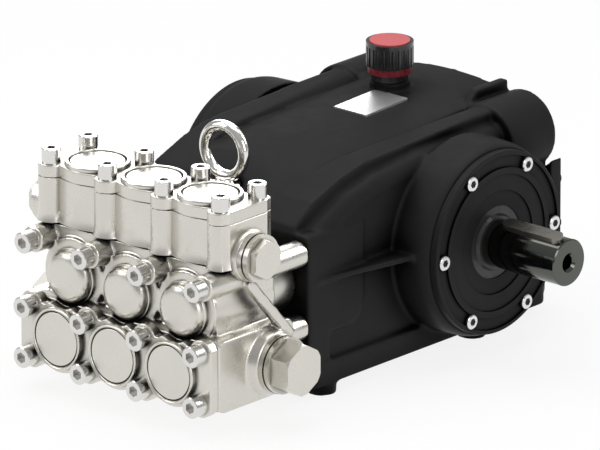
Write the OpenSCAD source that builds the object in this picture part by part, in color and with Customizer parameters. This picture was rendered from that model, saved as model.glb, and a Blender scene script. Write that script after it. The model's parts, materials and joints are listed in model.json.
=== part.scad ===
// High-pressure plunger pump with three plungers.
// +X is the drive side, -Y the valve head, +Z up. The origin is the centre of
// the four foot holes, on the underside of the feet. All sizes are millimetres.
// Distances called "ahead" and "behind" are measured from the crankcase's
// front face, where the valve head is bolted on.

/* [Drive] */
// Height of the crankshaft and the plungers above the feet
axis_h = 112; // [106:1:116]
// Crankshaft behind the crankcase's front face
crank_behind = 214; // [206:1:220]
// Diameter of the drive shaft
shaft_d = 45; // [38:1:50]
// Free length of the drive shaft beyond its cover
shaft_out = 86; // [75:1:110]
// Width of the shaft key
key_w = 14; // [10:1:16]
// Height of the key above the shaft
key_proud = 4.5; // [3:0.5:6]
// Length of the key
key_len = 70; // [50:1:72]
// Angle of the key from the top, turned towards the head
key_turn = 14; // [0:1:45]
// Diameter of the tapped hole in the shaft end
shaft_hole_d = 14; // [10:1:18]
// Depth of the tapped hole in the shaft end
shaft_hole_depth = 36; // [20:1:40]

/* [Crankcase] */
// Width of the crankcase over its side walls
case_w = 227; // [222:1:232]
// Front face ahead of the centre of the feet
case_ahead = 138; // [132:1:144]
// Length of the crankcase from front face to rear face
case_len = 340; // [336:1:348]
// Height of the underside above the feet
case_floor_h = 11; // [8:1:14]
// Width of the base flange
base_w = 236; // [232:1:242]
// Height of the base flange
base_h = 24; // [18:1:28]
// Width of the front block that carries the head
front_block_w = 234; // [230:1:240]
// Height of the front block's top above the feet
front_block_top = 161; // [156:1:166]
// Length of the front block's side panel
front_block_len = 78; // [60:1:90]
// Radius of the round barrels at the rear
barrel_r = 37.4; // [34:0.2:40]
// Sideways distance of the rear barrels from the middle
barrel_x = 88; // [84:1:90]
// Height of the rear barrels above the feet
barrel_z = 177.6; // [172:0.2:182]
// Length of the rear barrels
barrel_len = 62; // [50:1:70]
// Half width of the crowned middle of the deck
deck_half = 66; // [60:1:68]
// Half width over the ridges beside the deck
ridge_half = 98; // [94:1:102]
// Radius of the round shoulders outside the ridges
shoulder_r = 14.5; // [10:0.5:18]
// Height of the deck's middle line at the rear
deck_top_h = 216; // [212:1:220]
// Radius of the deck's crown
deck_crown_r = 320; // [280:10:400]
// Height of the two raised lips at the rear of the deck
lip_top_h = 220; // [218:0.5:224]
// Thickness of the horizontal side ribs
rib_t = 5; // [4:0.5:8]

/* [Feet] */
// Foot holes apart across the pump
foot_span_x = 208; // [204:1:212]
// Foot holes apart along the pump
foot_span_y = 212; // [206:1:220]
// Radius of a foot pad
foot_r = 14; // [12:0.5:16]
// Diameter of a foot hole
foot_hole_d = 14; // [10:0.5:16]

/* [Bearing covers] */
// Radius of the bearing boss
boss_r = 90; // [86:1:94]
// Bearing boss face from the middle of the pump
boss_x = 155; // [150:1:160]
// Radius of a bearing cover
cover_r = 88; // [84:0.5:89]
// Thickness of a bearing cover
cover_t = 8; // [6:0.5:10]
// Diameter of the circle of cover screws
cover_screw_pcd = 156; // [150:1:160]
// Number of cover screws
cover_screws = 6; // [4:1:8]
// Radius of a cover screw's head
cover_screw_head_r = 7; // [6:0.5:8]
// Height of a cover screw's head above the cover
cover_screw_head_h = 2.5; // [2:0.5:4]
// Outer radius of the shaft seal
seal_r = 35; // [32:0.5:38]
// Gap between the shaft and what it turns in
shaft_gap = 0.06; // [0.03:0.01:0.08]

/* [Rear cover] */
// Thickness of the rear cover
rear_cover_t = 18; // [12:1:20]
// Width of the rear cover
rear_cover_w = 238; // [230:1:240]
// Gap between the rear cover's cut-outs and the rear barrels
rear_cover_gap = 3; // [2:0.5:5]

/* [Valve head] */
// Distance between neighbouring plungers
pitch = 70; // [68:1:72]
// Width of the valve head's blocks
head_w = 236; // [232:1:240]
// Front plate's face ahead of the crankcase
plate_ahead = 137; // [134:1:142]
// Thickness of the front plate
plate_t = 11; // [9:1:14]
// Height of the lower row of front screws
screw_low_z = 32; // [30:1:36]
// Height of the second row of front screws
screw_mid_z = 81; // [78:1:84]
// Height of the long middle screws
screw_top_z = 143.5; // [141:0.5:146]
// Radius of a front screw's head
screw_head_r = 10; // [8:0.5:11]
// Height of a head screw's head
screw_head_h = 14; // [10:0.5:16]
// Radius of the round bosses that guide the head's screws
screw_boss_r = 12.5; // [11.5:0.5:13.5]
// Height of the suction plugs' centres
suction_z = 56; // [54:1:58]
// Outer radius of a suction plug
suction_cap_r = 30; // [28:0.5:31]
// Radius of a middle plunger cap
plunger_cap_r = 27; // [25:0.5:29]
// Radius of a valve tower
tower_r = 32; // [30:0.5:33]
// Valve towers ahead of the crankcase
tower_ahead = 83; // [80:1:86]
// Distance between the front and rear top screws
top_screw_span = 50.5; // [48:0.5:54]
// Height of the valve head's seam under the top plate
seam_z = 201; // [196:1:203]
// Thickness of the top plate
top_plate_t = 12; // [10:1:16]
// Radius of a valve cap
valve_cap_r = 31; // [28:0.5:31.5]
// Height of a valve cap above the top plate
valve_cap_h = 4; // [2:0.5:6]

/* [Side plugs] */
// Width across the flats of the upper side plug
upper_plug_af = 34; // [30:1:38]
// Height of the upper side plug's axis
upper_plug_z = 166; // [162:1:168]
// Upper plug's end face from the middle of the pump
upper_plug_x = 141; // [138:1:150]
// Radius of the upper plug's flange
upper_flange_r = 23.5; // [20:0.5:24]
// Width across the flats of the lower side plug
lower_plug_af = 45; // [40:1:50]
// Lower side plug's axis ahead of the crankcase
lower_plug_ahead = 55; // [52:1:58]
// Lower plug's end face from the middle of the pump
lower_plug_x = 160; // [154:1:164]
// Radius of the lower plug's flange
lower_flange_r = 28; // [26:0.5:30]

/* [Fittings] */
// Lifting eye behind the crankcase's front face
eye_behind = 14; // [12:1:20]
// Radius of the lifting eye's middle line
eye_r = 24; // [20:0.5:26]
// Thickness of the lifting eye's wire
eye_wire_d = 11; // [9:0.5:13]
// Oil filler cap to the side of the middle
oil_x = -16; // [-20:1:0]
// Oil filler cap behind the crankcase's front face
oil_behind = 264; // [258:1:270]
// Radius of the oil filler cap
oil_cap_r = 22.5; // [20:0.5:24]
// Height of the oil filler cap
oil_cap_h = 23.5; // [18:0.5:28]
// Width of the blank type plate
type_plate_w = 40; // [30:1:50]
// Length of the blank type plate
type_plate_l = 59; // [40:1:64]
// Type plate's centre behind the crankcase's front face
type_plate_behind = 219; // [210:1:222]

/* [Hidden] */
$fn = 72;
eps = 0.02;
casting = [0.20, 0.20, 0.21];
steel = [0.80, 0.79, 0.75];
zinc = [0.85, 0.85, 0.86];

// Places along the pump
front_y = -case_ahead;
crank_y = front_y + crank_behind;
rear_y = front_y + case_len;
function ahead(d) = front_y - d;
function behind(d) = front_y + d;

// Places across the pump
plunger_x = [-pitch, 0, pitch];
bolt_x = [-1.5 * pitch, -0.5 * pitch, 0.5 * pitch, 1.5 * pitch];
sides = [-1, 1];

// A cylinder along X, from x0 to x1
module along_x(x0, x1, y, z, r) {
    translate([x0, y, z]) rotate([0, 90, 0]) cylinder(h = x1 - x0, r = r);
}

// A cylinder along Y, from y0 to y1
module along_y(y0, y1, x, z, r) {
    translate([x, y1, z]) rotate([90, 0, 0]) cylinder(h = y1 - y0, r = r);
}

// A cylinder along Z, from z0 to z1
module along_z(z0, z1, x, y, r) {
    translate([x, y, z0]) cylinder(h = z1 - z0, r = r);
}

// A round bar between two points that share their x
module bar_yz(p, q, r) {
    d = q - p;
    translate(p) rotate([atan2(-d.y, d.z), 0, 0]) cylinder(h = norm(d), r = r);
}

// Turns a drawing of X and Z into a plate from y0 to y1
module plate_xz(y0, y1) {
    translate([0, y1, 0]) rotate([90, 0, 0]) linear_extrude(y1 - y0) children();
}

// Turns a drawing of Y and Z into a plate from x0 to x1
module plate_yz(x0, x1) {
    translate([x0, 0, 0]) rotate([90, 0, 90]) linear_extrude(x1 - x0) children();
}

// A rectangle about x = 0 with round corners
module rounded_field(w, low, high, r) {
    for (x = [-w / 2 + r, w / 2 - r])
        for (z = [low + r, high - r])
            translate([x, z]) circle(r);
    translate([-w / 2 + r, low]) square([w - 2 * r, high - low]);
    translate([-w / 2, low + r]) square([w, high - low - 2 * r]);
}

// Hexagon of a given width across flats, with its corners up and down
module hexagon(af) {
    rotate(90) circle(r = af / sqrt(3), $fn = 6);
}

// Tops of the shoulders, from the rear barrels down to the front block
shoulder_x = case_w / 2 - shoulder_r + 0.5;
shoulder_top_h = deck_top_h - 16;
shoulder_tops = [
    [behind(case_len - barrel_len), shoulder_top_h],
    [behind(170), shoulder_top_h],
    [behind(105), shoulder_top_h - 6],
    [behind(66), shoulder_top_h - 15],
    [behind(18), front_block_top]
];
shoulder_line = [for (p = shoulder_tops) [p[0], p[1] - shoulder_r]];

module shoulder(side) {
    x = side * shoulder_x;
    last = len(shoulder_line) - 1;
    points = [for (p = shoulder_line) [x, p[0], p[1]]];
    for (i = [0:last - 1]) bar_yz(points[i], points[i + 1], shoulder_r);
    for (i = [1:last - 1]) translate(points[i]) sphere(shoulder_r + 0.1);
}

module rear_barrel(side) {
    along_y(rear_y - barrel_len, rear_y, side * barrel_x, barrel_z, barrel_r);
}

// The walls under the shoulders, up to the middle of their round
module side_walls() {
    plate_yz(-case_w / 2, case_w / 2) polygon(concat(
        [[front_y, case_floor_h + 4], [rear_y, case_floor_h + 10]],
        [[rear_y, shoulder_line[0][1]]],
        shoulder_line,
        [[front_y, front_block_top - shoulder_r]]
    ));
}

// A cylinder along the pump whose top line falls towards the front
module crown(y, top, tilt) {
    translate([0, y, top]) rotate([tilt, 0, 0]) translate([0, 0, -deck_crown_r])
        rotate([90, 0, 0]) cylinder(h = 900, r = deck_crown_r, center = true, $fn = 180);
}

// Slope of the deck's rear part towards the front, in degrees
deck_tilt = 2.2;
function deck_line(y) = deck_top_h - tan(deck_tilt) * (rear_y - y);

// The deck's crowned middle, under three falling planes
module deck() {
    low = front_block_top - 30;
    intersection() {
        translate([0, 0, low]) linear_extrude(deck_top_h - low) polygon([
            [-deck_half, rear_y], [-deck_half, behind(193)],
            [-deck_half + 4, behind(80)], [-deck_half + 16, front_y],
            [deck_half - 16, front_y], [deck_half - 4, behind(80)],
            [deck_half, behind(193)], [deck_half, rear_y]
        ]);
        crown(rear_y, deck_top_h, deck_tilt);
        crown(behind(110), deck_top_h - 9, 7);
        crown(behind(42), deck_top_h - 22, 24);
    }
}

// Side view of the ridges beside the deck
module ridge_side() {
    polygon([
        [rear_y, front_block_top - 30],
        [rear_y, deck_line(rear_y) - 1.5],
        [behind(100), deck_line(behind(100)) - 1.5],
        [behind(66), deck_top_h - 18],
        [behind(28), deck_top_h - 32],
        [behind(2), deck_top_h - 50],
        [behind(2), front_block_top - 30]
    ]);
}

// The ridge falls to the groove at the deck's edge in a round
module ridge(side) {
    groove_z = deck_top_h - 20;
    round_r = 25;
    inner = deck_half - 16;
    intersection() {
        translate([side * (inner + ridge_half) / 2, 0, 0])
            plate_yz(-(ridge_half - inner) / 2, (ridge_half - inner) / 2) ridge_side();
        union() {
            x = side * (ridge_half - 11);
            along_y(front_y - 1, rear_y + 1, x, deck_top_h - 4 - round_r, round_r);
            translate([-case_w, front_y - 1, 0]) cube([2 * case_w, case_len + 2, groove_z]);
        }
    }
}

// The rear ends of the deck's edges stand up as two lips
module deck_lips() {
    lip_t = 10;
    start = behind(case_len - barrel_len);
    for (side = sides)
        translate([side * (deck_half - lip_t / 2), 0, 0]) plate_yz(-lip_t / 2, lip_t / 2) polygon([
            [start, lip_top_h - 20],
            [start + 4, lip_top_h - 12],
            [start + 18, lip_top_h],
            [rear_y, lip_top_h],
            [rear_y, lip_top_h - 20]
        ]);
}

foot_hole_depth = 26;

// The block at the front, with a panel on each side
module front_block() {
    plate_xz(front_y, behind(30)) rounded_field(front_block_w, base_h, front_block_top, 9);
    intersection() {
        plate_xz(front_y, behind(front_block_len))
            rounded_field(front_block_w, base_h, front_block_top, 9);
        plate_yz(-front_block_w, front_block_w) panel_side();
    }
}

// Side view of the panel
module panel_side() {
    corner = 22;
    low = base_h + 37;
    end = behind(front_block_len);
    translate([end - corner, low + corner]) circle(corner);
    translate([front_y, low]) square([front_block_len - corner, front_block_top - low]);
    translate([front_y, low + corner]) square([front_block_len, front_block_top - low - corner]);
}

// A horizontal rib from the front block out to the bearing boss
module side_rib(side) {
    outer = side * boss_x - side * 13;
    wall = side * (case_w / 2 - 4);
    translate([0, 0, axis_h + 1]) linear_extrude(rib_t) polygon([
        [side * front_block_w / 2, behind(6)],
        [outer, crank_y - boss_r + 2],
        [outer, crank_y - boss_r + 12],
        [wall, crank_y - boss_r + 12],
        [wall, behind(6)]
    ]);
}

// The drum that carries a bearing cover, from the side wall outwards
module bearing_drum(side) {
    root_x = case_w / 2 - 3;
    rim_x = boss_x - 10;
    translate([0, crank_y, axis_h]) rotate([0, side * 90, 0]) {
        translate([0, 0, root_x]) cylinder(h = rim_x - root_x, r1 = boss_r + 4.5, r2 = boss_r + 3);
        translate([0, 0, rim_x - eps]) cylinder(h = 5, r1 = boss_r + 3, r2 = boss_r + 1.8);
        translate([0, 0, rim_x + 5 - 2 * eps])
            cylinder(h = 5 + 2 * eps, r1 = boss_r + 1.8, r2 = boss_r - 0.5);
    }
}

module base_flange() {
    corner = foot_r;
    translate([0, 0, case_floor_h]) linear_extrude(base_h) {
        for (x = [-base_w / 2 + corner, base_w / 2 - corner])
            for (y = [front_y + corner, rear_y - corner])
                translate([x, y]) circle(corner);
        translate([-base_w / 2 + corner, front_y])
            square([base_w - 2 * corner, case_len]);
        translate([-base_w / 2, front_y + corner])
            square([base_w, case_len - 2 * corner]);
    }
}

module crankcase() {
    color(casting) difference() {
        union() {
            side_walls();
            for (side = sides) {
                shoulder(side);
                ridge(side);
                rear_barrel(side);
                bearing_drum(side);
                side_rib(side);
            }
            deck();
            deck_lips();
            front_block();
            base_flange();
            for (x = [-1, 1] * foot_span_x / 2)
                for (y = [-1, 1] * foot_span_y / 2)
                    along_z(0, case_floor_h + 2, x, y, foot_r);
            along_z(eye_base_z - 14, eye_base_z, 0, behind(eye_behind), eye_pad_r);
            along_z(oil_seat_z - 23, oil_seat_z, oil_x, behind(oil_behind), oil_seat_r);
        }
        for (x = [-1, 1] * foot_span_x / 2)
            for (y = [-1, 1] * foot_span_y / 2)
                along_z(-1, foot_hole_depth, x, y, foot_hole_d / 2);
        along_x(boss_x - 30, boss_x + 1, crank_y, axis_h, shaft_d / 2 + 12);
        along_z(eye_base_z, eye_z, 0, behind(eye_behind), eye_pad_r - 1);
        along_z(oil_seat_z, oil_cap_top, oil_x, behind(oil_behind), oil_seat_r + 8);
        at_type_plate(-type_plate_sunk) translate([-type_plate_w / 2, -type_plate_l / 2, 0])
            cube([type_plate_w, type_plate_l, 20]);
    }
}

// Outline of the rear face without the two round barrels
rear_cover_top = deck_top_h - 13;
rear_cover_low = base_h + 6;
rear_base_t = rear_cover_t - 3;

module rear_outline() {
    cut_r = barrel_r + rear_cover_gap;
    difference() {
        rounded_field(rear_cover_w, rear_cover_low, rear_cover_top, 12);
        for (side = sides) translate([side * barrel_x, barrel_z]) {
            circle(cut_r);
            translate([side * 30, cut_r / 2]) square([60, 2 * cut_r], center = true);
        }
    }
}

rear_screw_side = rear_cover_w / 2 - 11;
rear_screw_places = [
    [-36, rear_cover_top - 10], [36, rear_cover_top - 10],
    [-rear_screw_side, barrel_z - 50], [rear_screw_side, barrel_z - 50],
    [-rear_screw_side, 84], [rear_screw_side, 84],
    [-rear_screw_side, 42], [rear_screw_side, 42], [-36, 42], [36, 42]
];

module rear_cover() {
    color(casting) {
        plate_xz(rear_y, rear_y + rear_base_t) rear_outline();
        plate_xz(rear_y + rear_base_t - eps, rear_y + rear_cover_t)
            rounded_field(rear_cover_w - 44, base_h + 26, rear_cover_top - 70, 20);
    }
}

// A socket screw's head on the plane z = 0, its hexagon socket upwards
module socket_head(r, h) {
    difference() {
        union() {
            cylinder(h = h - 0.8, r = r);
            translate([0, 0, h - 0.8]) cylinder(h = 0.8, r1 = r, r2 = r - 0.8);
        }
        translate([0, 0, h * 0.45]) linear_extrude(h) hexagon(r * 0.95);
    }
}

module rear_cover_screws() {
    y = rear_y + rear_base_t;
    color(casting) for (p = rear_screw_places)
        translate([p[0], y, p[1]]) rotate([-90, 0, 0]) socket_head(6.5, 6);
}

// Places on the circle of cover screws, from a given start angle
module around_cover(start = 0) {
    for (i = [0:cover_screws - 1])
        rotate([start + i * 360 / cover_screws, 0, 0])
            translate([0, cover_screw_pcd / 2, 0]) children();
}

// Bearing cover drawn about the X axis, its inner face on x = 0
module bearing_cover(hole_r) {
    pocket_in = cover_screw_pcd / 2 - 6;
    difference() {
        union() {
            rotate([0, 90, 0]) cylinder(h = cover_t - 1, r = cover_r);
            translate([cover_t - 1, 0, 0]) rotate([0, 90, 0])
                cylinder(h = 1, r1 = cover_r, r2 = cover_r - 1);
        }
        // Step down inside the ring of screws, in two rounds
        translate([cover_t - 1.6, 0, 0]) rotate([0, 90, 0]) cylinder(h = 5, r = cover_r * 0.75);
        translate([cover_t - 3, 0, 0]) rotate([0, 90, 0]) cylinder(h = 5, r = cover_r * 0.57);
        if (hole_r > 0) translate([-1, 0, 0]) rotate([0, 90, 0])
            cylinder(h = cover_t + 2, r = hole_r);
        // Shallow pockets between the screws
        around_cover(180 / cover_screws) translate([cover_t - 2.2, 0, 0])
            rotate([0, 90, 0]) linear_extrude(5) pocket_outline(pocket_in);
    }
}

// Ring sector between two screws, about the cover's centre
module pocket_outline(inner) {
    translate([0, -cover_screw_pcd / 2]) intersection() {
        difference() {
            circle(cover_r - 4);
            circle(inner);
        }
        polygon([[0, 0], [-60, 110], [60, 110]]);
    }
}

module bearing_cover_right() {
    color(casting) translate([boss_x, crank_y, axis_h]) bearing_cover(seal_r);
}

module bearing_cover_left() {
    color(casting) mirror([1, 0, 0])
        translate([boss_x, crank_y, axis_h]) bearing_cover(0);
}

module cover_screws_at() {
    translate([boss_x + cover_t, crank_y, axis_h]) around_cover()
        rotate([0, 90, 0]) socket_head(cover_screw_head_r, cover_screw_head_h);
}

module cover_screws_right() {
    color(zinc) cover_screws_at();
}

module cover_screws_left() {
    color(zinc) mirror([1, 0, 0]) cover_screws_at();
}

module shaft_seal() {
    color([0.12, 0.12, 0.12]) translate([boss_x, crank_y, axis_h]) rotate([0, 90, 0])
        rotate_extrude() polygon([
            [shaft_d / 2 + shaft_gap, 0],
            [seal_r - eps, 0],
            [seal_r - eps, cover_t - 4],
            [shaft_d / 2 + 5, cover_t - 4],
            [shaft_d / 2 + 3, cover_t - 1],
            [shaft_d / 2 + shaft_gap, cover_t - 1]
        ]);
}

// The oil filler
oil_seat_r = 19;
oil_seat_z = deck_top_h + 6;
oil_neck_h = 7;
oil_ring_h = 6.5;
oil_cap_z = oil_seat_z + oil_neck_h + oil_ring_h;
oil_cap_top = oil_cap_z + oil_cap_h;

module at_oil(z) {
    translate([oil_x, behind(oil_behind), z]) children();
}

module oil_filler_neck() {
    color([0.1, 0.1, 0.1]) at_oil(oil_seat_z) cylinder(h = oil_neck_h, r = oil_cap_r - 5);
}

module oil_cap_ring() {
    color([0.45, 0.03, 0.06]) at_oil(oil_seat_z + oil_neck_h)
        cylinder(h = oil_ring_h, r = oil_cap_r - 1.5);
}

module oil_cap() {
    ribs = 24;
    h = oil_cap_h;
    color([0.07, 0.07, 0.07]) at_oil(oil_cap_z) difference() {
        cylinder(h = h, r = oil_cap_r);
        for (i = [0:ribs - 1]) rotate(i * 360 / ribs)
            translate([oil_cap_r + 0.9, 0, -1]) cylinder(h = h - 3, r = 2);
        translate([0, 0, h - 1.5]) cylinder(h = 5, r = oil_cap_r - 3);
    }
}

module oil_cap_insert() {
    color([0.85, 0.25, 0.28]) at_oil(oil_cap_top - 1.5)
        cylinder(h = 2.5, r = oil_cap_r - 3.3);
}

// The lifting eye stands on a flat pad on the deck's front slope
eye_base_z = deck_top_h - 36;
eye_foot_h = 4;
eye_neck_h = 6;
eye_z = eye_base_z + eye_foot_h + eye_neck_h - 3 + eye_wire_d / 2 + eye_r;
eye_pad_r = eye_r * 0.75;

module lifting_eye() {
    color([0.9, 0.9, 0.9]) translate([0, behind(eye_behind), 0]) {
        translate([0, 0, eye_z]) rotate([90, 0, 0])
            rotate_extrude() translate([eye_r, 0]) circle(eye_wire_d / 2, $fn = 32);
        translate([0, 0, eye_base_z]) cylinder(h = eye_foot_h, r = eye_pad_r - 3);
        translate([0, 0, eye_base_z + eye_foot_h])
            cylinder(h = eye_neck_h, r1 = eye_wire_d, r2 = eye_wire_d * 0.73);
    }
}

// The type plate lies in a shallow flat seat across the deck's crown
type_plate_t = 2;
type_plate_sunk = deck_crown_r - sqrt(pow(deck_crown_r, 2) - pow(type_plate_w / 2, 2)) + 0.1;

module at_type_plate(rise) {
    y = behind(type_plate_behind);
    translate([0, y, deck_line(y)]) rotate([deck_tilt, 0, 0]) translate([0, 0, rise]) children();
}

module type_plate() {
    color([0.85, 0.85, 0.85]) at_type_plate(-type_plate_sunk)
        translate([-type_plate_w / 2, -type_plate_l / 2, 0])
            cube([type_plate_w, type_plate_l, type_plate_t]);
}

// Places in the valve head
plate_back = plate_ahead - plate_t;
block_ahead = plate_back;
tier_ahead = plate_ahead - 20;
tier_behind = 34;
tier_top_z = screw_top_z + screw_boss_r;
plunger_cap_t = 13;
top_row_front = tower_ahead + top_screw_span / 2;
top_row_rear = tower_ahead - top_screw_span / 2;
top_z = seam_z + top_plate_t;
block_low_z = 21;
block_high_z = 91;
barrel_wall_r = plunger_cap_r + 9;
guide_r = plunger_cap_r + 4;
suction_bore_boss_r = lower_flange_r + 6;
upper_boss_x = head_w / 2 + 5;
lower_boss_x = head_w / 2 + 10;
lower_row_z = 72;

// Room round the plunger caps in what lies below them
module plunger_cap_room() {
    for (x = plunger_x)
        along_y(ahead(plate_ahead + 1), ahead(tier_ahead), x, axis_h, plunger_cap_r + 0.6);
}

// Round bosses round the head's screws, along the pump
module screw_bosses(z, from_ahead, to_ahead) {
    for (x = bolt_x) along_y(ahead(from_ahead), ahead(to_ahead), x, z, screw_boss_r);
}

// The sloping rib on each side between the two side plugs
module side_strut(side) {
    low_z = suction_z + lower_flange_r - 3;
    hull() {
        translate([side * (upper_boss_x - 5), ahead(tower_ahead + 1), 138]) rotate([0, 90, 0])
            cylinder(h = 8, r = 5, center = true, $fn = 24);
        translate([side * (lower_boss_x - 5), ahead(lower_plug_ahead - 18), low_z])
            rotate([0, 90, 0]) cylinder(h = 8, r = 5.5, center = true, $fn = 24);
    }
}

// The flared boss that carries a suction plug
module suction_boss(side) {
    root_x = head_w / 2 - 6;
    translate([0, ahead(lower_plug_ahead), suction_z]) rotate([0, side * 90, 0]) {
        cylinder(h = root_x, r = suction_bore_boss_r);
        translate([0, 0, root_x - eps])
            cylinder(h = lower_boss_x - root_x + eps, r1 = suction_bore_boss_r + 2,
                r2 = lower_flange_r + 1);
    }
}

module lower_block() {
    color(steel) difference() {
        union() {
            // Suction manifold
            plate_yz(-head_w / 2, head_w / 2) block_side();
            // Middle tier round the three plungers
            for (x = plunger_x)
                along_y(ahead(tier_ahead), ahead(tier_behind), x, axis_h, barrel_wall_r);
            translate([-1.5 * pitch, ahead(tier_ahead - 4), block_high_z - 10])
                cube([3 * pitch, tier_ahead - tier_behind - 4, tier_top_z - block_high_z + 10]);
            // Guides of the plungers, up to the crankcase
            for (x = plunger_x) along_y(ahead(tier_behind + 1), front_y, x, axis_h, guide_r);
            screw_bosses(screw_top_z, plate_ahead - 2, 0);
            screw_bosses(lower_row_z, 40, 0);
            for (side = sides) {
                suction_boss(side);
                side_strut(side);
            }
        }
        // The upper block's flat seat
        translate([-200, ahead(160), tier_top_z]) cube([400, 200, 40]);
        plunger_cap_room();
    }
}

// Side view of the suction manifold, with round long edges
module block_side() {
    r = 10;
    y0 = ahead(block_ahead);
    y1 = ahead(22);
    for (y = [y0 + r, y1 - r]) for (z = [block_low_z + r, block_high_z - r])
        translate([y, z]) circle(r);
    translate([y0, block_low_z + r]) square([y1 - y0, block_high_z - block_low_z - 2 * r]);
    translate([y0 + r, block_low_z]) square([y1 - y0 - 2 * r, block_high_z - block_low_z]);
    translate([y0, block_low_z + 3]) square([20, block_high_z - block_low_z - 6]);
}

// Outline of the front plate, scalloped round screws and plugs
module front_plate_outline() {
    translate([-head_w / 2, screw_low_z - 6]) square([head_w, screw_mid_z - screw_low_z + 10]);
    for (x = bolt_x) for (z = [screw_low_z, screw_mid_z]) translate([x, z]) circle(13);
    for (x = plunger_x) translate([x, suction_z]) circle(suction_cap_r + 4);
}

module front_plate() {
    color(steel) difference() {
        plate_xz(ahead(plate_ahead), ahead(plate_back)) front_plate_outline();
        plunger_cap_room();
    }
}

module suction_cap(i) {
    color(steel) translate([plunger_x[i], ahead(plate_ahead), suction_z])
        rotate([90, 0, 0]) rotate_extrude() polygon([
            [0, 0], [suction_cap_r, 0], [suction_cap_r, 4.5],
            [suction_cap_r - 1.2, 5.7], [suction_cap_r - 3, 5.7],
            [suction_cap_r - 4, 4.2], [0, 4.2]
        ]);
}

module plunger_cap(i) {
    edge = 5;
    color(steel) translate([plunger_x[i], ahead(tier_ahead), axis_h])
        rotate([90, 0, 0]) rotate_extrude() {
            square([plunger_cap_r, plunger_cap_t - edge]);
            square([plunger_cap_r - edge, plunger_cap_t]);
            translate([plunger_cap_r - edge, plunger_cap_t - edge]) intersection() {
                circle(edge);
                square(edge);
            }
        }
}

// Outline of the upper block and its top plate
module tower_outline() {
    for (x = plunger_x) translate([x, ahead(tower_ahead)]) circle(tower_r);
    for (x = bolt_x) for (d = [top_row_front, top_row_rear])
        translate([x, ahead(d)]) circle(screw_head_r + 0.7);
    translate([-1.5 * pitch - 6, ahead(top_row_front - 2)])
        square([3 * pitch + 12, top_screw_span - 4]);
    for (x = [-pitch, pitch]) translate([x * 1.5, ahead(tower_ahead)]) circle(12);
}

module upper_block() {
    color(steel) {
        translate([0, 0, tier_top_z]) linear_extrude(seam_z - tier_top_z) tower_outline();
        // Side bosses for the discharge plugs, above the seat on the lower block
        intersection() {
            along_x(-upper_boss_x, upper_boss_x, ahead(tower_ahead), upper_plug_z, upper_flange_r + 1.5);
            translate([-200, ahead(160), tier_top_z]) cube([400, 160, 60]);
        }
    }
}

module top_plate() {
    color(steel) translate([0, 0, seam_z]) linear_extrude(top_plate_t) tower_outline();
}

module valve_cap(i) {
    color(steel) translate([plunger_x[i], ahead(tower_ahead), top_z]) rotate_extrude()
        polygon([
            [0, 0], [valve_cap_r, 0], [valve_cap_r, valve_cap_h - 1],
            [valve_cap_r - 1, valve_cap_h], [valve_cap_r - 3, valve_cap_h],
            [valve_cap_r - 3.6, valve_cap_h - 0.8], [0, valve_cap_h - 0.8]
        ]);
}

module top_screws() {
    color(steel) for (x = bolt_x) for (d = [top_row_front, top_row_rear])
        translate([x, ahead(d), top_z]) socket_head(screw_head_r - 1, screw_head_h);
}

module front_screw_row(z, seat_ahead) {
    color(steel) for (x = bolt_x)
        translate([x, ahead(seat_ahead), z]) rotate([90, 0, 0])
            socket_head(screw_head_r, screw_head_h);
}

module middle_screws() {
    front_screw_row(screw_top_z, plate_ahead - 2);
}

module front_screws_upper() {
    front_screw_row(screw_mid_z, plate_ahead);
}

module front_screws_lower() {
    front_screw_row(screw_low_z, plate_ahead);
}

// Hexagon plug along X with a round flange, from x0 out to x1
flange_t = 5;

module side_plug(x0, x1, af, flange_r) {
    hexagon_x = x0 + 2 * flange_t + 1;
    rotate([0, 90, 0]) {
        translate([0, 0, x0]) cylinder(h = flange_t, r = flange_r);
        translate([0, 0, x0 + flange_t]) cylinder(h = 1, r = flange_r - 3);
        translate([0, 0, x0 + flange_t + 1]) cylinder(h = flange_t, r = flange_r - 1);
        intersection() {
            translate([0, 0, hexagon_x]) linear_extrude(x1 - hexagon_x) rotate(90) hexagon(af);
            translate([0, 0, x1 - af]) cylinder(h = af, r1 = af * 1.2, r2 = af * 0.53);
        }
    }
}

module discharge_plug_right() {
    color(steel) translate([0, ahead(tower_ahead), upper_plug_z])
        side_plug(upper_boss_x, upper_plug_x, upper_plug_af, upper_flange_r);
}

module discharge_plug_left() {
    mirror([1, 0, 0]) discharge_plug_right();
}

module suction_plug_right() {
    color(steel) translate([0, ahead(lower_plug_ahead), suction_z])
        side_plug(lower_boss_x, lower_plug_x, lower_plug_af, lower_flange_r);
}

module suction_plug_left() {
    mirror([1, 0, 0]) suction_plug_right();
}

// The drive shaft: journal in the boss, seat in the seal, free end
shaft_end_x = boss_x + cover_t + shaft_out;

module at_key() {
    translate([shaft_end_x - key_len - 4, crank_y, axis_h]) rotate([key_turn, 0, 0])
        children();
}

module key_solid(play) {
    // Round-ended key, lying in its seat
    translate([0, 0, shaft_d / 2 - 5.5]) linear_extrude(5.5 + key_proud) {
        for (x = [key_w / 2, key_len - key_w / 2]) translate([x, 0]) circle(key_w / 2 + play);
        translate([key_w / 2, -key_w / 2 - play]) square([key_len - key_w, key_w + 2 * play]);
    }
}

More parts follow.
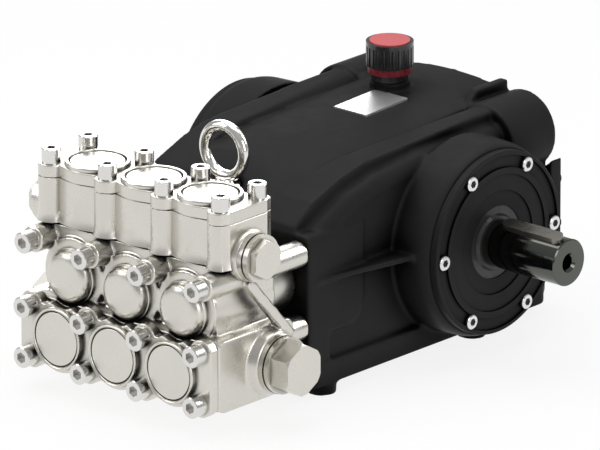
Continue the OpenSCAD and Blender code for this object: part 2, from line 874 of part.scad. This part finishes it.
module drive_shaft() {
    color([0.45, 0.47, 0.45]) difference() {
        union() {
            along_x(boss_x - 28, shaft_end_x - 1, crank_y, axis_h, shaft_d / 2);
            translate([shaft_end_x - 1, crank_y, axis_h]) rotate([0, 90, 0])
                cylinder(h = 1, r1 = shaft_d / 2, r2 = shaft_d / 2 - 1);
        }
        at_key() key_solid(0);
        along_x(shaft_end_x - shaft_hole_depth, shaft_end_x + 1, crank_y, axis_h, shaft_hole_d / 2);
        translate([shaft_end_x - 2.5, crank_y, axis_h]) rotate([0, 90, 0])
            cylinder(h = 2.5 + eps, r1 = shaft_hole_d / 2, r2 = shaft_hole_d / 2 + 2.5);
    }
}

module shaft_key() {
    color([0.6, 0.6, 0.6]) at_key() key_solid(0);
}

crankcase();
rear_cover();
rear_cover_screws();
bearing_cover_right();
bearing_cover_left();
cover_screws_right();
cover_screws_left();
shaft_seal();
oil_filler_neck();
oil_cap();
oil_cap_insert();
oil_cap_ring();
lifting_eye();
type_plate();
lower_block();
front_plate();
upper_block();
top_plate();
for (i = [0:2]) {
    suction_cap(i);
    plunger_cap(i);
    valve_cap(i);
}
top_screws();
middle_screws();
front_screws_upper();
front_screws_lower();
discharge_plug_right();
discharge_plug_left();
suction_plug_right();
suction_plug_left();
drive_shaft();
shaft_key();
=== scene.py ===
"""Looks of the high-pressure plunger pump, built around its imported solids."""
import json
import math

import bmesh
import bpy
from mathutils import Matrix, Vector


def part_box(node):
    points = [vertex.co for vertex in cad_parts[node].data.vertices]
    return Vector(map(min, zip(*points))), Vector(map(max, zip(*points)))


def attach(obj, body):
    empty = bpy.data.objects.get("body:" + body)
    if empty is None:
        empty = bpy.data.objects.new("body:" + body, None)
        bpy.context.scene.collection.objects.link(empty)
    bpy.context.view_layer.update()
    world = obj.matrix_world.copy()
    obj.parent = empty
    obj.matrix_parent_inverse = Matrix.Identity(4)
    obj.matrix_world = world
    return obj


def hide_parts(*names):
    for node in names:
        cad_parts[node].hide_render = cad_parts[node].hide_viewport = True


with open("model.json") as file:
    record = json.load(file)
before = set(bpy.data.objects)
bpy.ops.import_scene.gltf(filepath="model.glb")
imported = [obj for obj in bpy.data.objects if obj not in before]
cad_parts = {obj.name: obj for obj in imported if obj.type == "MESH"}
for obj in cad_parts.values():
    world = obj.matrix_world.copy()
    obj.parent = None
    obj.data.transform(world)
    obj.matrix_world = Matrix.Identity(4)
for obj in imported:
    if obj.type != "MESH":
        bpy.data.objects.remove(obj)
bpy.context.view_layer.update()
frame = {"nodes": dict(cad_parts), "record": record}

NODES = frame["nodes"]
MM = 0.001

# The camera stands far off behind a long lens, as in the photograph
AIM = Vector((0.0561, -0.0819, 0.1456))
VIEW_BACK = Vector((0.6284, -0.7075, 0.3234)).normalized()
CAMERA_DISTANCE = 13.134
CAMERA_LENS = 851.2
CAMERA_SENSOR = 36.0
CAMERA_REACH = 100.0

# Colours, as linear red, green and blue
CASTING_BLACK = (0.020, 0.020, 0.021)
HEAD_STEEL = (0.66, 0.64, 0.59)
SCREW_STEEL = (0.72, 0.71, 0.69)
SHAFT_STEEL = (0.105, 0.11, 0.10)
KEY_STEEL = (0.22, 0.21, 0.19)
ZINC = (0.78, 0.78, 0.79)
BLACK_OXIDE = (0.03, 0.03, 0.03)
CHROME = (0.82, 0.81, 0.78)
SEAL_BLACK = (0.006, 0.006, 0.006)
CAP_BLACK = (0.012, 0.012, 0.013)
CAP_RED = (0.62, 0.10, 0.11)
RING_RED = (0.16, 0.006, 0.015)
PLATE_GREY = (0.40, 0.40, 0.40)
# Share of its colour that a surface keeps in its corners, as painted shade
CORNER_SHADE = 0.10

FLOOR_WHITE = 0.9
FLOOR_SIZE = 60.0
# Share of plain white that the camera and mirrors see on the floor
FLOOR_GLOW = 0.86

# Brightness of the studio by height, from 0 at the horizon to 1 overhead
LIGHT_BY_HEIGHT = [(0.0, 0.5), (1.0, 1.0), (0.25, 0.62)]
LIGHT_STRENGTH = 0.5
# The same for what the camera and mirrors see
WALLS_BY_HEIGHT = [(0.0, 0.4), (1.0, 0.5), (0.35, 0.4)]
WALLS_STRENGTH = 1.0

# Each lamp's place and size in metres, and its watts
OVERHEAD = ((-0.3, 0.2, 2.2), (2.2, 2.2), 36)
LEFT_KEY = ((-1.6, -1.6, 1.4), (1.2, 1.6), 18)
RIGHT_FILL = ((2.2, -0.6, 1.0), (1.0, 1.4), 14)
BACK_SHEEN_LEFT = ((-2.2, 2.5, 1.5), (2.6, 1.9), 85)
BACK_SHEEN_RIGHT = ((1.15, 2.4, 1.7), (1.7, 1.7), 48)
LAMP_TARGET = Vector((0.0, 0.0, 0.12))
# Metals that the two low lamps at the back shine on
BRIGHT = ("head_steel", "screw_steel", "chrome", "plate_aluminium")


def set_inputs(shader, **values):
    """Sets a shader's sockets by name, with underscores for spaces."""
    for name, value in values.items():
        shader.inputs[name.replace("_", " ")].default_value = value


def new_material(name, color, metallic, roughness, **more):
    """A material with one principled shader, and that shader."""
    material = bpy.data.materials.new(name)
    material.use_nodes = True
    shader = material.node_tree.nodes["Principled BSDF"]
    set_inputs(shader, Base_Color=(*color, 1.0), Metallic=metallic, Roughness=roughness, **more)
    return material, shader


class Graph:
    """A short way to add and link shader nodes."""

    def __init__(self, material):
        self.tree = material.node_tree
        self.shader = self.tree.nodes["Principled BSDF"]
        self.place = self.add("ShaderNodeTexCoord").outputs["Object"]

    def add(self, kind, **settings):
        node = self.tree.nodes.new(kind)
        for name, value in settings.items():
            setattr(node, name, value)
        return node

    def link(self, output, socket):
        self.tree.links.new(output, socket)

    def noise(self, scale, detail=4.0, roughness=0.55, stretch=(1.0, 1.0, 1.0)):
        """Noise over the object's own coordinates, at so many cells a metre."""
        mapping = self.add("ShaderNodeMapping")
        mapping.inputs["Scale"].default_value = stretch
        self.link(self.place, mapping.inputs["Vector"])
        noise = self.add("ShaderNodeTexNoise")
        set_inputs(noise, Scale=scale, Detail=detail, Roughness=roughness)
        self.link(mapping.outputs["Vector"], noise.inputs["Vector"])
        return noise.outputs["Fac"]

    def spread(self, value, low, high, from_low=0.3, from_high=0.7):
        """Maps a noise onto a range."""
        node = self.add("ShaderNodeMapRange")
        set_inputs(node, From_Min=from_low, From_Max=from_high, To_Min=low, To_Max=high)
        self.link(value, node.inputs["Value"])
        return node.outputs["Result"]

    def tint(self, value, dark, light):
        """Mixes two colours by a noise."""
        node = self.add("ShaderNodeMix", data_type="RGBA")
        node.inputs["A"].default_value = (*dark, 1.0)
        node.inputs["B"].default_value = (*light, 1.0)
        self.link(value, node.inputs["Factor"])
        self.link(node.outputs["Result"], self.shader.inputs["Base Color"])

    def paint_corner_shade(self, reach, dark, closed, clear):
        """Paints shade into the corners: mixes in a dark colour where less than the clear share
        lies open.
        """
        corners = self.add("ShaderNodeAmbientOcclusion")
        corners.inputs["Distance"].default_value = reach
        open_share = self.spread(corners.outputs["AO"], 0.0, 1.0, closed, clear)
        node = self.add("ShaderNodeMix", data_type="RGBA")
        node.inputs["A"].default_value = (*dark, 1.0)
        socket = self.shader.inputs["Base Color"]
        self.link(socket.links[0].from_socket, node.inputs["B"])
        self.link(open_share, node.inputs["Factor"])
        self.link(node.outputs["Result"], socket)

    def bump(self, value, strength, distance):
        """Raises the surface by a noise, by so many metres."""
        node = self.add("ShaderNodeBump")
        set_inputs(node, Strength=strength, Distance=distance)
        self.link(value, node.inputs["Height"])
        self.link(node.outputs["Normal"], self.shader.inputs["Normal"])

    def roughness(self, value):
        """Roughness by a noise."""
        self.link(value, self.shader.inputs["Roughness"])


def scaled(color, factor):
    """A colour made lighter or darker."""
    return tuple(min(1.0, c * factor) for c in color)


def cast_paint(name):
    """Satin black paint over a fine cast surface, with painted shade in its corners."""
    material, _ = new_material(name, CASTING_BLACK, 0.0, 0.42, Specular_IOR_Level=0.06)
    graph = Graph(material)
    cloud = graph.noise(9.0, 3.0)
    graph.tint(cloud, scaled(CASTING_BLACK, 0.86), scaled(CASTING_BLACK, 1.18))
    # Painted shade: the paint's colour darkens where ambient occlusion finds corners and hollows
    graph.paint_corner_shade(0.035, scaled(CASTING_BLACK, CORNER_SHADE), 0.50, 0.97)
    graph.roughness(graph.spread(graph.noise(60.0, 5.0), 0.40, 0.52))
    graph.bump(graph.noise(900.0, 3.0, 0.6), 0.10, 0.0004)
    return material


def forged_steel(name, color, rough_low, rough_high, metallic=1.0, corner_shade_reach=0.0):
    """Satin steel with a soft, uneven sheen, with painted shade in its corners if asked."""
    material, _ = new_material(name, color, metallic, rough_low)
    graph = Graph(material)
    cloud = graph.noise(14.0, 3.0)
    graph.tint(cloud, scaled(color, 0.93), scaled(color, 1.05))
    # Painted shade: the steel's colour darkens in its corners
    if corner_shade_reach:
        graph.paint_corner_shade(corner_shade_reach, scaled(color, CORNER_SHADE), 0.25, 0.72)
    graph.roughness(graph.spread(graph.noise(45.0, 5.0), rough_low, rough_high))
    graph.bump(graph.noise(420.0, 4.0, 0.6), 0.05, 0.0003)
    return material


def turned_steel(name, color, rough_low, rough_high, along):
    """Ground steel with fine rings round one axis."""
    material, _ = new_material(name, color, 1.0, rough_low)
    graph = Graph(material)
    stretch = tuple(1.0 if axis == along else 0.02 for axis in "xyz")
    rings = graph.noise(2200.0, 2.0, 0.5, stretch)
    graph.tint(graph.noise(22.0, 3.0), scaled(color, 0.9), scaled(color, 1.1))
    graph.roughness(graph.spread(graph.noise(70.0, 4.0), rough_low, rough_high))
    graph.bump(rings, 0.06, 0.0002)
    return material


def plastic(name, color, rough_low, rough_high):
    """Glossy moulded plastic with faint handling marks."""
    material, _ = new_material(name, color, 0.0, rough_low, Coat_Weight=0.3, Coat_Roughness=0.08)
    graph = Graph(material)
    graph.tint(graph.noise(30.0, 2.0), scaled(color, 0.92), scaled(color, 1.06))
    graph.roughness(graph.spread(graph.noise(160.0, 4.0), rough_low, rough_high))
    graph.bump(graph.noise(1400.0, 2.0), 0.03, 0.0002)
    return material


MATERIALS = {
    "black_casting": cast_paint("satin_black_casting"),
    "black_screws": forged_steel("black_oxide", BLACK_OXIDE, 0.35, 0.5),
    "zinc_screws": forged_steel("bright_zinc", ZINC, 0.22, 0.34),
    "seal_rubber": plastic("seal_rubber", SEAL_BLACK, 0.5, 0.65),
    "black_plastic": plastic("black_plastic", CAP_BLACK, 0.16, 0.26),
    "red_plastic": plastic("red_plastic", CAP_RED, 0.25, 0.38),
    "dark_red_plastic": plastic("dark_red_plastic", RING_RED, 0.22, 0.34),
    "chrome": forged_steel("chrome", CHROME, 0.05, 0.10),
    "plate_aluminium": forged_steel("plate_aluminium", PLATE_GREY, 0.36, 0.46, 0.75),
    # The head's steel gets painted shade in its corners
    "head_steel": forged_steel("head_steel", HEAD_STEEL, 0.24, 0.34, corner_shade_reach=0.020),
    "screw_steel": forged_steel("screw_steel", SCREW_STEEL, 0.16, 0.26),
    "shaft_steel": turned_steel("shaft_steel", SHAFT_STEEL, 0.08, 0.15, "x"),
    "key_steel": forged_steel("key_steel", KEY_STEEL, 0.24, 0.34),
}


def dress_nodes():
    """Gives each node the material of its slot."""
    for part in frame["record"]["subparts"]:
        node = NODES[part["node"]]
        material = MATERIALS[part["material_slot"]]
        node.data.materials.clear()
        node.data.materials.append(material)


def soften(node, voxel, rounds, kept):
    """Rounds a casting's edges: an even mesh, smoothing, then fewer faces."""
    remesh = node.modifiers.new("even_mesh", "REMESH")
    remesh.mode = "VOXEL"
    remesh.voxel_size = voxel
    remesh.use_smooth_shade = True
    smooth = node.modifiers.new("round_edges", "SMOOTH")
    smooth.factor = 0.5
    smooth.iterations = rounds
    thin = node.modifiers.new("fewer_faces", "DECIMATE")
    thin.ratio = kept


def bevel(node, width):
    """A small bevel on sharp edges, with smooth shading between them."""
    modifier = node.modifiers.new("edge_bevel", "BEVEL")
    modifier.width = width
    modifier.segments = 2
    modifier.limit_method = "ANGLE"
    modifier.angle_limit = BEVELLED_EDGE
    modifier.harden_normals = True


# Voxel size in metres, smoothing rounds and share of faces kept of each casting
CASTINGS = {
    "crankcase": (0.0017, 7, 0.45),
    "rear_cover": (0.0015, 5, 0.5),
    "lower_block": (0.0012, 7, 0.4),
    "front_plate": (0.0009, 6, 0.5),
}

# Edges this sharp or sharper get a bevel, or a hard line in the shading
BEVELLED_EDGE = math.radians(40)
SHARP_EDGE = math.radians(38)

# Bevel width in metres of the pieces whose name holds a word
BEVELS = {
    "plug": 0.0008,
    "screws": 0.0006,
    "bearing_cover": 0.0008,
    "oil": 0.0005,
    "type_plate": 0.0004,
    "shaft_key": 0.0005,
}


def shape_nodes():
    """Rounds the castings, and bevels what is turned or forged."""
    for name, (voxel, rounds, kept) in CASTINGS.items():
        soften(NODES[name], voxel, rounds, kept)
    for name, node in NODES.items():
        for kind, width in BEVELS.items():
            if kind in name:
                bevel(node, width)
                break


def middle(name):
    """The middle of a solid's box, in metres."""
    low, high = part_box(name)
    return [(a + b) / 2 for a, b in zip(low, high)]


# Ways to face: two directions across, and the one outwards
UP = (Vector((1, 0, 0)), Vector((0, 1, 0)), Vector((0, 0, 1)))
FRONT = (Vector((1, 0, 0)), Vector((0, 0, 1)), Vector((0, -1, 0)))
RIGHT = (Vector((0, 1, 0)), Vector((0, 0, 1)), Vector((1, 0, 0)))
LEFT = (Vector((0, -1, 0)), Vector((0, 0, 1)), Vector((-1, 0, 0)))


def add_piece(name, points, faces, slot, replaced):
    """A new piece from its mesh, which may stand for a CAD node."""
    mesh = bpy.data.meshes.new(name)
    mesh.from_pydata(points, [], faces)
    work = bmesh.new()
    work.from_mesh(mesh)
    bmesh.ops.remove_doubles(work, verts=work.verts, dist=1e-6)
    bmesh.ops.recalc_face_normals(work, faces=work.faces)
    work.to_mesh(mesh)
    work.free()
    mesh.shade_smooth()
    mesh.set_sharp_from_angle(angle=SHARP_EDGE)
    mesh.materials.append(MATERIALS[slot])
    piece = bpy.data.objects.new(name, mesh)
    bpy.context.scene.collection.objects.link(piece)
    normals = piece.modifiers.new("even_normals", "WEIGHTED_NORMAL")
    normals.keep_sharp = True
    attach(piece, "pump")
    if replaced:
        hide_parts(replaced)
    return piece


def filleted(points, steps=6):
    """The line through points of radius, height and rounding, in metres."""
    line = []
    for index, (across, along, rounding) in enumerate(points):
        corner = Vector((across, along))
        if rounding == 0:
            line.append(corner * MM)
            continue
        before = Vector(points[index - 1][:2]) - corner
        after = Vector(points[index + 1][:2]) - corner
        start = corner + before.normalized() * rounding
        end = corner + after.normalized() * rounding
        for step in range(steps + 1):
            t = step / steps
            line.append(((1 - t) ** 2 * start + 2 * t * (1 - t) * corner + t * t * end) * MM)
    return line


def lathe(name, points, place, axes, slot, replaced, steps=96):
    """Turns a profile round an axis: a solid one starts on it, a ring beside it."""
    line = filleted(points)
    hollow = line[0].x > 0
    rings = line + [line[0]] if hollow else line[1:]
    across, over, along = axes
    place = Vector(place)
    verts, faces = [], []
    for radius, height in rings:
        for step in range(steps):
            turn = 2 * math.pi * step / steps
            side = across * math.cos(turn) + over * math.sin(turn)
            verts.append(place + side * radius + along * height)
    for ring in range(len(rings) - 1):
        a, b = ring * steps, (ring + 1) * steps
        for step in range(steps):
            after = (step + 1) % steps
            faces.append((a + step, b + step, b + after, a + after))
    if not hollow:
        faces.append(tuple(range(steps)))
        faces.append(tuple(range(len(verts) - steps, len(verts))))
    return add_piece(name, verts, faces, slot, replaced)


# Profiles of the turned pieces: radius, height and rounding in millimetres
VALVE_CAP = [
    (0, 2.8, 0), (25.3, 2.8, 0.5), (25.6, 1.4, 0.3), (26.9, 1.4, 0.3), (27.3, 3.9, 0.5),
    (30.2, 4.0, 0.8), (31.0, 2.6, 0.6), (31.0, 0, 0),
]
SUCTION_CAP = [
    (0, 4.3, 0), (25.4, 4.3, 0.5), (26.2, 2.6, 0.5), (27.0, 4.6, 0.6), (28.0, 5.7, 0.7),
    (29.2, 5.6, 0.7), (30.0, 4.0, 0.8), (30.0, 0, 0),
]
PLUNGER_CAP = [
    (0, 13.0, 0), (16.5, 13.0, 2.5), (24.6, 11.2, 6.0), (25.6, 3.6, 1.0), (26.0, 3.0, 0.3),
    (27.0, 2.8, 0.5), (27.0, 0, 0),
]
# A black ring in each valve cap's groove: painted shade of the groove
GROOVE_SHADE_RING = [(25.5, 1.2, 0), (25.5, 2.6, 0.3), (27.1, 2.6, 0.3), (27.1, 1.2, 0)]
SIDE_BOSS = [(0, 0, 0), (23.4, 0, 1.6), (25.0, -3.0, 1.6), (25.5, -12.0, 0)]

# The towers' outline in millimetres, the same to the front and to the back:
# round towers over the plungers, and a round column at each pair of screws
PITCH = round((middle("valve_cap_3")[0] - middle("valve_cap_2")[0]) / MM, 2)
TOWER_RADIUS = 32.0
COLUMN_DEPTH = 25.25
COLUMN_RADIUS = 12.0
TOWERS = [(x * PITCH, 0.0, TOWER_RADIUS) for x in (-1, 0, 1)]
COLUMNS = [(x * PITCH, COLUMN_DEPTH, COLUMN_RADIUS) for x in (-1.5, -0.5, 0.5, 1.5)]
SLAB_DEPTH = 28.0
# The block's end, and the last stretch, where the depth turns in
TOWER_END = 1.5 * PITCH + COLUMN_RADIUS
END_STRETCH = 3.0
END_DEPTH = COLUMN_DEPTH + 0.2
TOWER_STEPS = 360
# How hard the corners between the rounds are: less is softer
BLEND = 0.36
# Heights over the foot, and how far the outline is grown there
TOWER_FOOT = [
    (0, -3.0), (1.6, -2.6), (1.9, 1.6), (3.0, 1.3),
    (5.0, 0.85), (7.5, 0.4), (10.0, 0.1), (13.0, 0),
]
# The seam's groove, and the top's rounded rim
SEAM_HALF = 0.7
SEAM_DEPTH = -0.8
TOP_RIM = [(-1.6, 0), (-0.6, -0.4), (0, -1.6)]


def tower_depth(x, grow):
    """How far the outline stands out at x, its corners blended."""
    depths = [SLAB_DEPTH + grow]
    for middle_x, middle_depth, radius in TOWERS + COLUMNS:
        inside = (radius + grow) ** 2 - (x - middle_x) ** 2
        if inside > 0:
            depths.append(middle_depth + math.sqrt(inside))
    most = max(depths)
    return most + math.log(sum(math.exp(BLEND * (d - most)) for d in depths)) / BLEND


def tower(name, levels, replaced):
    """Stacks the towers' outline at several heights, each a little in or out."""
    tower_y = middle("valve_cap_2")[1] / MM
    verts, faces = [], []
    for z, grow in levels:
        end = TOWER_END + grow
        front = []
        for step in range(TOWER_STEPS + 1):
            x = end * math.sin(math.pi * (step / TOWER_STEPS - 0.5))
            edge = min(1.0, (end - abs(x)) / END_STRETCH)
            depth = tower_depth(x, grow) * edge + END_DEPTH * (1 - edge)
            front.append((x, depth))
        verts += [Vector((x, tower_y - d, z)) * MM for x, d in front]
        verts += [Vector((x, tower_y + d, z)) * MM for x, d in reversed(front)]
    count = 2 * (TOWER_STEPS + 1)
    for level in range(len(levels) - 1):
        a, b = level * count, (level + 1) * count
        for step in range(count):
            after = (step + 1) % count
            faces.append((a + step, a + after, b + after, b + step))
    faces.append(tuple(range(count)))
    faces.append(tuple(range(len(verts) - count, len(verts))))
    return add_piece(name, verts, faces, "head_steel", replaced)


# The dark disc painted as shade in the cover screws' sockets, and its place in the heads
SOCKET_SHADE_DISC = [(0, 0.3, 0), (3.5, 0.3, 0), (3.5, 0, 0)]
SOCKET_LIFT = 0.0012
COVER_SCREWS = 6
COVER_SCREW_HEAD = 0.007


def add_socket_shade():
    """A dark disc in each socket of the bearing covers' screws, painted as the deep socket's
    shade.
    """
    for side, axes in (("right", RIGHT), ("left", LEFT)):
        outward = axes[2].x
        low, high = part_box(f"bearing_cover_{side}")
        screw_low, screw_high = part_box(f"cover_screws_{side}")
        face = high[0] if outward > 0 else low[0]
        radius = (screw_high[1] - screw_low[1]) / 2 - COVER_SCREW_HEAD
        for index in range(COVER_SCREWS):
            turn = math.radians(index * 360 / COVER_SCREWS)
            y = (low[1] + high[1]) / 2 + radius * math.cos(turn)
            z = (low[2] + high[2]) / 2 + radius * math.sin(turn)
            shade_disc_place = (face + outward * SOCKET_LIFT, y, z)
            socket = f"socket_{side}_{index + 1}"
            # Painted shade: a black disc where the deep socket would lie in shadow
            lathe(socket, SOCKET_SHADE_DISC, shade_disc_place, axes, "black_screws", None, steps=6)


def add_caps():
    """Turned fronts of the nine caps, and black rings painted as shade in the valve caps'
    grooves.
    """
    for number in (1, 2, 3):
        for kind, profile, axes in (
            ("valve_cap", VALVE_CAP, UP),
            ("suction_cap", SUCTION_CAP, FRONT),
            ("plunger_cap", PLUNGER_CAP, FRONT),
        ):
            node = f"{kind}_{number}"
            low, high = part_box(node)
            place = middle(node)
            if axes is UP:
                place[2] = low[2]
            else:
                place[1] = high[1]
            lathe(f"{node}_turned", profile, place, axes, "head_steel", node)
            if axes is UP:
                # The black ring paints the groove's shade
                lathe(f"{node}_ring", GROOVE_SHADE_RING, place, axes, "black_screws", node)


def add_towers():
    """The three towers, the plate on them and the bosses at their ends."""
    low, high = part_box("upper_block")
    foot, seam = low[2] / MM, high[2] / MM
    block = [(foot + z, grow) for z, grow in TOWER_FOOT]
    block += [(seam - SEAM_HALF, 0), (seam, SEAM_DEPTH)]
    tower("tower_block", block, "upper_block")
    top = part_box("top_plate")[1][2] / MM
    plate = [(seam, SEAM_DEPTH), (seam + SEAM_HALF, 0)]
    plate += [(top + z, grow) for z, grow in TOP_RIM]
    tower("tower_plate", plate, "top_plate")
    _, y, z = middle("discharge_plug_right")
    for side, axes, x in (("right", RIGHT, high[0]), ("left", LEFT, low[0])):
        boss = f"side_boss_{side}"
        lathe(boss, SIDE_BOSS, (x, y, z), axes, "head_steel", "upper_block")


def seen_share(tree, share):
    """A share of one for the rays of the camera, mirrors and glass, else none."""
    rays = tree.nodes.new("ShaderNodeLightPath")
    total = rays.outputs["Is Camera Ray"]
    for name in ("Is Glossy Ray", "Is Transmission Ray"):
        plus = tree.nodes.new("ShaderNodeMath")
        plus.operation = "ADD"
        plus.use_clamp = True
        tree.links.new(total, plus.inputs[0])
        tree.links.new(rays.outputs[name], plus.inputs[1])
        total = plus.outputs[0]
    times = tree.nodes.new("ShaderNodeMath")
    times.operation = "MULTIPLY"
    times.inputs[1].default_value = share
    tree.links.new(total, times.inputs[0])
    return times.outputs[0]


def add_floor():
    """A pale floor that shows nearly white, with the pump's soft shadow."""
    bpy.ops.mesh.primitive_plane_add(size=FLOOR_SIZE, location=(0, 0, 0))
    floor = bpy.context.active_object
    floor.name = "floor"
    material, shader = new_material("pale_floor", (FLOOR_WHITE,) * 3, 0.0, 0.9)
    tree = material.node_tree
    glow = tree.nodes.new("ShaderNodeEmission")
    mix = tree.nodes.new("ShaderNodeMixShader")
    tree.links.new(seen_share(tree, FLOOR_GLOW), mix.inputs[0])
    tree.links.new(shader.outputs["BSDF"], mix.inputs[1])
    tree.links.new(glow.outputs["Emission"], mix.inputs[2])
    tree.links.new(mix.outputs["Shader"], tree.nodes["Material Output"].inputs["Surface"])
    floor.data.materials.append(material)


def sky(tree, stops, strength):
    """A background whose brightness changes from the horizon to overhead."""
    place = tree.nodes.new("ShaderNodeTexCoord")
    split = tree.nodes.new("ShaderNodeSeparateXYZ")
    ramp = tree.nodes.new("ShaderNodeValToRGB")
    tree.links.new(place.outputs["Generated"], split.inputs["Vector"])
    tree.links.new(split.outputs["Z"], ramp.inputs["Fac"])
    marks = ramp.color_ramp.elements
    for index, (height, grey) in enumerate(stops):
        mark = marks[index] if index < 2 else marks.new(height)
        mark.position = height
        mark.color = (grey, grey, grey, 1.0)
    background = tree.nodes.new("ShaderNodeBackground")
    background.inputs["Strength"].default_value = strength
    tree.links.new(ramp.outputs["Color"], background.inputs["Color"])
    return background.outputs["Background"]


def add_world():
    """A white studio: plain grey light, and white walls in the reflections."""
    world = bpy.data.worlds.new("studio")
    bpy.context.scene.world = world
    world.use_nodes = True
    tree = world.node_tree
    light = sky(tree, LIGHT_BY_HEIGHT, LIGHT_STRENGTH)
    walls = sky(tree, WALLS_BY_HEIGHT, WALLS_STRENGTH)
    mix = tree.nodes.new("ShaderNodeMixShader")
    tree.links.new(seen_share(tree, 1.0), mix.inputs[0])
    tree.links.new(light, mix.inputs[1])
    tree.links.new(walls, mix.inputs[2])
    tree.links.new(mix.outputs["Shader"], tree.nodes["World Output"].inputs["Surface"])


def add_lamp(name, place, size, watts):
    """A square soft light that faces the pump."""
    data = bpy.data.lights.new(name, "AREA")
    data.shape = "RECTANGLE"
    data.size, data.size_y = size
    data.energy = watts
    lamp = bpy.data.objects.new(name, data)
    lamp.location = place
    toward = LAMP_TARGET - lamp.location
    lamp.rotation_euler = toward.to_track_quat("-Z", "Y").to_euler()
    bpy.context.scene.collection.objects.link(lamp)
    return lamp


def shine_on(lamp, pieces):
    """Lets a lamp light only some pieces."""
    lit = bpy.data.collections.new(f"{lamp.name}_receivers")
    for piece in pieces:
        lit.objects.link(piece)
    lamp.light_linking.receiver_collection = lit


def add_lamps():
    """Soft lamps; two at the back are for the bright metal alone."""
    meshes = [piece for piece in bpy.context.scene.objects if piece.type == "MESH"]
    shaft = MATERIALS["shaft_steel"]
    not_shaft = [piece for piece in meshes if piece.data.materials[0] != shaft]
    metals = [MATERIALS[slot] for slot in BRIGHT]
    bright = [piece for piece in meshes if piece.data.materials[0] in metals]
    add_lamp("overhead", *OVERHEAD)
    add_lamp("right_fill", *RIGHT_FILL)
    shine_on(add_lamp("left_key", *LEFT_KEY), not_shaft)
    shine_on(add_lamp("back_sheen_left", *BACK_SHEEN_LEFT), bright)
    shine_on(add_lamp("back_sheen_right", *BACK_SHEEN_RIGHT), bright)


def add_camera():
    """The camera at the photograph's angle."""
    data = bpy.data.cameras.new("camera")
    data.lens = CAMERA_LENS
    data.sensor_width = CAMERA_SENSOR
    data.clip_end = CAMERA_REACH
    camera = bpy.data.objects.new("camera", data)
    camera.location = AIM + VIEW_BACK * CAMERA_DISTANCE
    camera.rotation_euler = (-VIEW_BACK).to_track_quat("-Z", "Y").to_euler()
    bpy.context.scene.collection.objects.link(camera)
    bpy.context.scene.camera = camera


add_camera()
add_world()
add_floor()
dress_nodes()
shape_nodes()
add_caps()
add_towers()
add_socket_shade()
add_lamps()
bpy.context.scene.view_settings.view_transform = "Standard"
